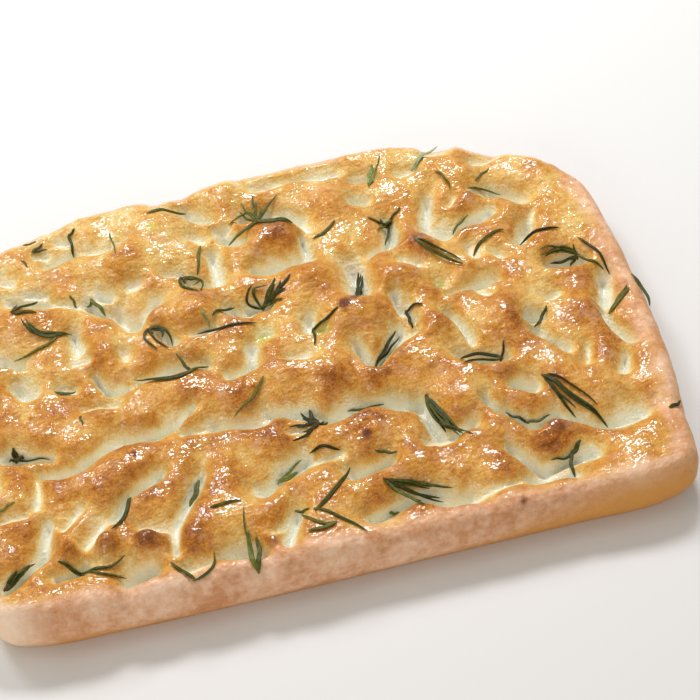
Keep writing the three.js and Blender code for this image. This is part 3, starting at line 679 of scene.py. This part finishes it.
# For each sprig: x, y of the base, tone from black (0) over dark green and olive to grey green (1),
# extra needles, and the tips: x, y, bow to the left, lift of the tip, girth
sprigs = [
    [-201, -118, 0.25, 4, [[-183, -106, 0], [-186, -108, 0], [-193, -111, 0]]],
    [-183, -33, 0.18, 3, [[-183, -28, 0], [-178, -34, 0, 0, 1.2], [-187, -33, 0],
     [-164, -39, 0, 0, 0.6]]],
    [-126, -83, 0.28, 0, [[-140, -106, 3]]],
    [-87, -81, 0.3, 0, [[-96, -100, 0, 0, 1.4]]],
    [-160, -121, 0.32, 0, [[-171, -115, 1], [-136, -121, -5], [-138, -131, -3, 0, 0.8]]],
    [-104, -145, 0.3, 0, [[-114, -133, 0, 0, 1.1], [-90, -132, -5]]],
    [-13, -64, 0.14, 5, [[-14, -51, 0, 0, 1.5], [-19, -50, 0], [-29, -62, 0, 0, 0.8], [-30, -73, 2],
     [-5, -60, 0]]],
    [9, -56, 0.3, 0, [[31, -55, 1]]],
    [55, -60, 0.3, 4, [[58, -87, -1, 0, 1.3], [62, -98, 0], [64, -98, 1, 0, 0.8],
     [70, -101, -5, 0, 0.8]]],
    [34, -27, 0.14, 0, [[53, -8, -1], [55, -10, -1, 0, 0.8]]],
    [64, 5, 0.06, 0, [[73, 0, 0], [62, -13, 0]]],
    [-43, -91, 0.55, 0, [[-32, -92, 0, 0, 1.5], [-27, -81, 1, 0, 0.8]]],
    [-21, -81, 0.16, 0, [[-6, -87, 0]]],
    [-31, -123, 0.36, 0, [[-3, -97, -3], [-8, -145, 2]]],
    [-23, -134, 0.5, 0, [[-38, -120, 5], [-39, -136, 1, 0, 1.4]]],
    [-85, -107, 0.32, 0, [[-68, -107, 1]]],
    [-70, -149, 0.5, 0, [[-68, -111, 2, 0, 0.55], [-69, -125, 2, 0, 1.5], [-66, -129, -1, 0, 1.3]]],
    [12, -114, 0.34, 3, [[28, -138, -1], [42, -130, -1], [48, -126, 1], [36, -122, 0]]],
    [-35, -25, 0.5, 0, [[-57, -44, 2]]],
    [107, -47, 0.2, 0, [[80, -47, -5, 0, 1.5], [81, -50, -1, 0, 0.8], [111, -39, 0, 0, 0.8]]],
    [145, -21, 0.35, 0, [[134, -31, 1]]],
    [106, -93, 0.3, 0, [[96, -83, 1], [120, -93, -1]]],
    [124, -70, 0.2, 2, [[133, -100, -2], [150, -109, -2, 0, 1.5], [147, -99, 2, 0, 0.7]]],
    [183, -33, 0.5, 1, [[200, -19, 0, 0, 1.2], [200, -22, 0, 0, 1.2]]],
    [207, -11, 0.42, 0, [[207, -38, 3]]],
    [122, -122, 0.22, 0, [[108, -123, 1, 0, 0.9], [129, -117, 0, 0, 1.3], [117, -138, -1, 0, 1.1]]],
    [184, -115, 0.3, 0, [[194, -110, -1]]],
    [-147, 117, 0.3, 0, [[-140, 121, 0], [-138, 117, 0, 0, 0.7]]],
    [-123, 123, 0.25, 0, [[-118, 126, 0], [-123, 109, 0]]],
    [-98, 115, 0.62, 0, [[-98, 90, 0, 0, 0.7]]],
    [-119, 70, 0.5, 0, [[-123, 67, 0, 0, 0.8], [-113, 59, 0, 0, 1.2]]],
    [-167, 65, 0.3, 1, [[-153, 57, 0], [-151, 78, 0], [-164, 82, 0, 0, 0.8]]],
    [-137, 46, 0.3, 1, [[-163, 56, 10], [-160, 53, 7, 0, 0.9]]],
    [-145, 40, 0.56, 0, [[-173, 35, 4]]],
    [-91, 32, 0.3, 1, [[-79, 22, 6, 0, 0.9], [-89, 15, -4], [-82, 14, -2, 0, 0.8]]],
    [-152, 2, 0.34, 0, [[-141, 2, -4]]],
    [-74, -9, 0.34, 0, [[-79, 10, 0, 0, 0.9], [-62, -1, 0], [-107, 1, 7, 0, 1.4]]],
    [-71, 123, 0.4, 0, [[-46, 128, -1, 0, 1.1]]],
    [-6, 97, 0.42, 3, [[-2, 126, 0, 0, 0.8], [14, 123, 1, 0, 1.1], [-11, 121, 0, 0, 0.8],
     [-23, 106, -11], [15, 88, 0, 0, 1.4], [-28, 85, -2, 0, 1.4]]],
    [-62, 72, 0.36, 1, [[-55, 48, 8, 0, 0.9], [-55, 48, -5], [-54, 69, 0, 0, 0.8]]],
    [-45, 91, 0.56, 0, [[-52, 70, 0]]],
    [40, 26, 0.14, 2, [[47, 49, 0], [48, 43, 0], [42, 37, 0]]],
    [-18, 37, 0.3, 3, [[-22, 49, 8, 0, 0.8], [2, 47, -2, 0, 1.2], [-7, 50, 0, 0, 0.8],
     [-3, 38, 0, 0, 1.2], [-7, 31, 0]]],
    [-37, 38, 0.22, 0, [[-52, 28, -1]]],
    [-57, 31, 0.9, 0, [[-55, 24, 0, 0, 0.9]]],
    [-62, 22, 0.08, 0, [[-27, 18, -1]]],
    [26, 77, 0.42, 0, [[43, 87, -2]]],
    [5, 6, 0.1, 0, [[22, 9, -1], [1, -12, 0, 0, 0.8]]],
    [79, 83, 0.34, 1, [[64, 85, 4, 0, 1.2], [88, 89, 0, 0, 0.8], [70, 65, 0], [67, 73, 0, 0, 0.8]]],
    [74, 113, 0.66, 0, [[81, 129, 0, 2, 1.6], [86, 128, -1, 9]]],
    [107, 121, 0.92, 0, [[129, 134, 0, 4, 1.6]]],
    [117, 65, 0.42, 0, [[129, 72, 1]]],
    [137, 93, 0.4, 0, [[158, 87, 2]]],
    [119, 109, 0.4, 0, [[124, 94, 2]]],
    [154, 41, 0.12, 0, [[178, 38, 0]]],
    [121, 38, 0.4, 0, [[144, 47, 3]]],
    [85, 50, 0.34, 0, [[109, 26, -2, 0, 1.1], [109, 29, 2, 0, 0.9]]],
    [183, 18, 0.36, 3, [[159, 25, -4, 0, 1.2], [159, 22, -3], [165, 19, 0], [194, 1, -1],
     [182, 25, 0, 0, 0.8]]],
    [187, 27, 0.08, 0, [[196, -3, 2]]],
]

bakedBits = [  # from x, y to x, y
    [-196, -73, -187, -70], [-142, -22, -142, -29], [11, -129, 16, -129], [137, -39, 142, -48],
    [14, -93, 25, -96], [-155, 109, -152, 102], [-151, 124, -143, 124], [-131, 72, -129, 66],
    [-40, -117, -33, -121], [144, 99, 156, 106],
]

needle = {
    "width": 2.1,
    "thickness": 1.1,
    "widthRange": (0.8, 1.1),
    "section": [  # across and up as shares of half the width and half the thickness, for the left half
        (0, 0.45), (-0.35, 0.95), (-0.75, 0.8), (-1, 0.05), (-0.8, -0.7), (-0.5, -0.45), (-0.2, -0.5),
        (0, -1),
    ],
    "underside": -0.4,  # the section is felted below this
    "stations": 18,
    "pathSteps": 24,
    "gap": 0.06,  # clear space between a needle and the crust
    "butt": 1.2,  # a needle starts this far behind its base
    "sag": 0.125,  # a stiff needle sags by this much between points an eighth of its length apart
    "wobble": 0.5,
    "twist": 0.7,  # largest turn about its own length, in radians
    "toneRange": (-0.1, 0.12),  # around the tone of its sprig
    "extraSpread": (0.08, 0.4),  # an extra needle points between two tips, this share of the way,
    "extraSpreadFew": (0, 0.3),  # or this share where a sprig has only one or two tips
    "extraReach": (0.6, 0.95),  # length of an extra needle, as a share,
    "extraShift": 1,  # how far its tip is out of line,
    "extraLift": (0.5, 1.5),  # and how far it is lifted
    "twigRadius": 0.9,
    "twigLength": 5,
    "twigSides": 8,
    "twigStations": 8,
    "twigFrom": 4,  # needles from which on a sprig shows a twig
    "bitWidth": 0.84,  # share of the width
    "bitTone": (0.3, 0.7),
    "bitSink": 0.75,
}

leafLook = {
    "tones": [
        (0.0, tone(30, 20, 6)), (0.3, tone(56, 62, 12)), (0.6, tone(104, 104, 26)),
        (0.8, tone(122, 136, 64)), (1.0, tone(162, 176, 128)),
    ],
    "felt": tone(116, 124, 52),
    "base": tone(120, 118, 50),
    "wood": tone(96, 66, 38),
    # painted shade in the groove along the middle of each needle
    "grooveShade": tone(26, 30, 14),
    "speckle": (-0.16, 0.2),  # added to the tone
    "grooveShadeEdge": (0.3, 0.35),  # how far out the painted shade of the groove reaches, and how strong it is in the middle
    "feltShare": 0.75,
    "baseEdge": (0.14, 0.55),  # share of the length that the pale base takes, and how strong it is
    "roughness": 0.6,
    "dullRoughness": 0.75,  # of felt and wood
    "coat": 0.04,
    "coatRoughness": 0.2,
    "specular": 0.25,
    "subsurface": 0.05,
    "subsurfaceDepth": 1.0,
    "skin": (0.8, 0.15),  # wavelength and depth of the bumps
}


def leafMaterial():
    material, tree, shader = newMaterial("rosemaryLeaf")
    look = leafLook
    shade, along, across, under, wood = (
        readLayer(tree, name) for name in ("shade", "along", "across", "under", "wood"))
    speckle = spread(tree, grain(tree, 2.6, 4, 0.7), 0.3, 0.7, *look["speckle"])
    colour = ramp(tree, maths(tree, "ADD", shade, speckle, clamp=True), look["tones"])
    grooveReach, grooveShare = look["grooveShadeEdge"]
    # painted shade: the middle of the needle, where its groove runs, is darkened
    grooveShade = spread(tree, maths(tree, "ABSOLUTE", across, 0), 0, grooveReach, grooveShare, 0)
    colour = mixColour(tree, grooveShade, colour, look["grooveShade"])
    colour = mixColour(tree, maths(tree, "MULTIPLY", under, look["feltShare"]), colour, look["felt"])
    baseReach, baseShare = look["baseEdge"]
    colour = mixColour(tree, spread(tree, along, 0, baseReach, baseShare, 0), colour, look["base"])
    colour = mixColour(tree, wood, colour, look["wood"])
    tree.links.new(colour, shader.inputs["Base Color"])
    dull = maths(tree, "MAXIMUM", under, wood)
    rough = spread(tree, dull, 0, 1, look["roughness"], look["dullRoughness"])
    tree.links.new(rough, shader.inputs["Roughness"])
    shader.inputs["Coat Weight"].default_value = look["coat"]
    shader.inputs["Coat Roughness"].default_value = look["coatRoughness"]
    shader.inputs["Specular IOR Level"].default_value = look["specular"]
    shader.inputs["Subsurface Weight"].default_value = look["subsurface"]
    shader.inputs["Subsurface Scale"].default_value = look["subsurfaceDepth"] * mm
    wavelength, depth = look["skin"]
    skin = bump(tree, grain(tree, wavelength, 3, 0.6), depth, 0.7)
    tree.links.new(skin, shader.inputs["Normal"])
    return material


def swept(name, section, profile, stations):
    # a closed tube along X from 0 to 1, whose points hold their share of the length, across and up
    bm = bmesh.new()
    along, across, under, wood = (
        bm.verts.layers.float.new(part) for part in ("along", "across", "under", "wood"))
    corner = bm.verts.layers.int.new("corner")
    ring = bmesh.ops.create_circle(bm, segments=len(section), radius=1)["verts"]
    for number, vert in enumerate(ring):
        vert[corner] = number
    edges = list(bm.edges)
    start = list(edges)
    for station in range(stations + 1):
        share = (1 - math.cos(math.pi * station / stations)) / 2
        if station:
            ring, edges = grownRing(bm, edges)
        for vert in ring:
            aside, rise = section[vert[corner]]
            vert.co = (share, aside * profile(share), rise * profile(share))
            vert[along], vert[across] = share, aside
            vert[under] = 1.0 if rise < needle["underside"] and name == "leaf" else 0.0
            vert[wood] = 1.0 if name == "twig" else 0.0
    bmesh.ops.edgeloop_fill(bm, edges=edges)
    bmesh.ops.edgeloop_fill(bm, edges=start)
    bmesh.ops.recalc_face_normals(bm, faces=bm.faces)
    mesh = bpy.data.meshes.new(name)
    bm.to_mesh(mesh)
    bm.free()
    return mesh


def leafShape():
    half = needle["section"]
    section = half + [(-aside, rise) for aside, rise in half[-2:0:-1]]

    def girth(share):
        return min(1, 0.35 + 4 * share) * (1 - share ** 4 + 0.0008) ** 0.5

    return swept("leaf", section, girth, needle["stations"])


def twigShape():
    turns = np.linspace(0, 2 * math.pi, needle["twigSides"], endpoint=False)
    section = [(math.cos(turn), math.sin(turn)) for turn in turns]

    def girth(share):
        return (1 - 0.35 * share) * (1 - (2 * share - 1) ** 8 + 0.02) ** 0.5

    return swept("twig", section, girth, needle["twigStations"])


def crustAt(x, y):
    hit = crustTree.ray_cast(Vector((x, y, 100)) * mm, Vector((0, 0, -1)))[0]
    return hit.z / mm if hit else 0.0


def stiffLine(heights, sag):
    # the lowest line that a stiff needle can take over these heights
    steps = np.arange(len(heights))
    bent = heights - sag * steps ** 2
    lowest = bent.copy()
    for first in range(len(bent)):
        for last in range(first + 2, len(bent)):
            rise = (bent[last] - bent[first]) / (last - first)
            between = slice(first, last + 1)
            lowest[between] = np.maximum(lowest[between], bent[first] + rise * (steps[between] - first))
    return lowest + sag * steps ** 2


def needlePath(start, tip, half, clearance, rng):
    steps = needle["pathSteps"]
    endX, endY, bow, lift = (*tip, 0, 0)[:4]
    run = Vector((endX - start[0], endY - start[1]))
    length = run.length
    heading = run / length
    side = Vector((-heading.y, heading.x))
    wave, phase = rng.uniform(0.8, 1.6), rng.uniform(0, 6)
    places, heights = [], []
    for step in range(steps + 1):
        share = step / steps
        sway = needle["wobble"] * math.sin(wave * 2 * math.pi * share + phase) * share * (1 - share) * 4
        offset = bow * 4 * share * (1 - share) + sway
        reach = share * (length + needle["butt"]) - needle["butt"]
        spot = Vector(start) + heading * reach + side * offset
        places.append(spot)
        heights.append(max(crustAt(*(spot + side * half * share)) for share in (-1, 0, 1)))
    heights = stiffLine(np.array(heights), needle["sag"] * (8 / steps) ** 2)
    return [Vector((*spot, height + clearance + lift * (step / steps) ** 2))
            for step, (spot, height) in enumerate(zip(places, heights))]


def bendAlong(bm, shape, path, half, thick, twist, shade):
    # lays a copy of the straight shape along the path
    first = len(bm.verts)
    bm.from_mesh(shape)
    bm.verts.ensure_lookup_table()
    shadeLayer = bm.verts.layers.float["shade"]
    for vert in bm.verts[first:]:
        share, aside, rise = vert.co
        step = min(share * (len(path) - 1), len(path) - 1.001)
        before, after = path[int(step)], path[int(step) + 1]
        spot = before.lerp(after, step - int(step))
        ahead = path[min(int(step) + 2, len(path) - 1)] - path[max(int(step) - 1, 0)]
        side = Vector((-ahead.y, ahead.x, 0)).normalized()
        top = ahead.cross(side).normalized()
        turn = twist[0] + (twist[1] - twist[0]) * share
        aside, rise = aside * half, rise * thick
        across = aside * math.cos(turn) - rise * math.sin(turn)
        up = aside * math.sin(turn) + rise * math.cos(turn)
        lifted = abs(math.sin(turn)) * (half - thick) * min(1, 4 * share)
        vert.co = (spot + side * across + top * (up + max(lifted, 0))) * mm
        vert[shadeLayer] = shade


def newLeafMesh():
    bm = bmesh.new()
    for name in ("along", "across", "under", "wood", "shade"):
        bm.verts.layers.float.new(name)
    return bm


def addLeafPiece(bm, name, nodeName, material):
    mesh = bpy.data.meshes.new(name)
    bmesh.ops.recalc_face_normals(bm, faces=bm.faces)
    bm.to_mesh(mesh)
    bm.free()
    mesh.transform(Matrix.Translation(centring))
    mesh.shade_smooth()
    mesh.materials.append(material)
    piece = link(bpy.data.objects.new(name, mesh))
    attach(piece, "root")
    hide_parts(nodeName)
    return len(mesh.polygons)


def extraTips(start, tips, count, rng):
    # needles between the others
    shift = needle["extraShift"]
    for number in range(count):
        one, other = tips[number % len(tips)], tips[(number + 1) % len(tips)]
        share = rng.uniform(*needle["extraSpread" if len(tips) > 2 else "extraSpreadFew"])
        reach = rng.uniform(*needle["extraReach"])
        x, y = (start[i] + reach * (one[i] + share * (other[i] - one[i]) - start[i])
                + rng.uniform(-shift, shift) for i in (0, 1))
        yield [x, y, one[2] + rng.uniform(-shift, shift), rng.uniform(*needle["extraLift"])]


def addRosemary():
    rng = random.Random(21)
    leaf, twig = leafShape(), twigShape()
    material = leafMaterial()
    faces = 0
    for number, (x, y, shade, extras, tips) in enumerate(sprigs, 1):
        bm = newLeafMesh()
        every = tips + list(extraTips((x, y), tips, extras, rng))
        for tip in every:
            girth = tip[4] if len(tip) > 4 else 1
            half = girth * needle["width"] / 2 * rng.uniform(*needle["widthRange"])
            thick = needle["thickness"] / 2
            path = needlePath((x, y), tip, half, thick + needle["gap"], rng)
            twist = rng.uniform(-1, 1) * needle["twist"] * 0.5, rng.uniform(-1, 1) * needle["twist"]
            bendAlong(bm, leaf, path, half, thick, twist, shade + rng.uniform(*needle["toneRange"]))
        if len(every) >= needle["twigFrom"]:
            middle = sum((Vector(tip[:2]) for tip in every), Vector((0, 0))) / len(every)
            heading = (middle - Vector((x, y))).normalized() * needle["twigLength"]
            radius = needle["twigRadius"]
            end = (x + heading.x, y + heading.y)
            path = needlePath((x, y), end, radius, radius + needle["gap"], rng)
            bendAlong(bm, twig, path, radius, radius, (0, 0), shade)
        faces += addLeafPiece(bm, f"rosemarySprig{number:02d}", f"rosemary_{number:02d}", material)

    bm = newLeafMesh()
    for x1, y1, x2, y2 in bakedBits:
        half, thick = needle["bitWidth"] * needle["width"] / 2, needle["thickness"] / 2
        path = needlePath((x1, y1), (x2, y2), half, thick - needle["bitSink"], rng)
        bendAlong(bm, leaf, path, half, thick, (0, 0), rng.uniform(*needle["bitTone"]))
    faces += addLeafPiece(bm, "bakedBits", "focaccia", material)
    print("rosemary:", faces, "faces")


# Floor

def addFloor():
    bm = bmesh.new()
    bmesh.ops.create_grid(bm, x_segments=1, y_segments=1, size=studio["floorSize"] / 2)
    mesh = bpy.data.meshes.new("studioFloor")
    bm.to_mesh(mesh)
    bm.free()
    material, tree, shader = newMaterial("paleFloor")
    shader.inputs["Base Color"].default_value = tone(*studio["floorColour"])
    shader.inputs["Roughness"].default_value = studio["floorRoughness"]
    mesh.materials.append(material)
    link(bpy.data.objects.new("studioFloor", mesh))


addCamera()
addLights()
addFloor()
print("camera, lights and floor are in place")
crustTree = addLoaf()
addRosemary()
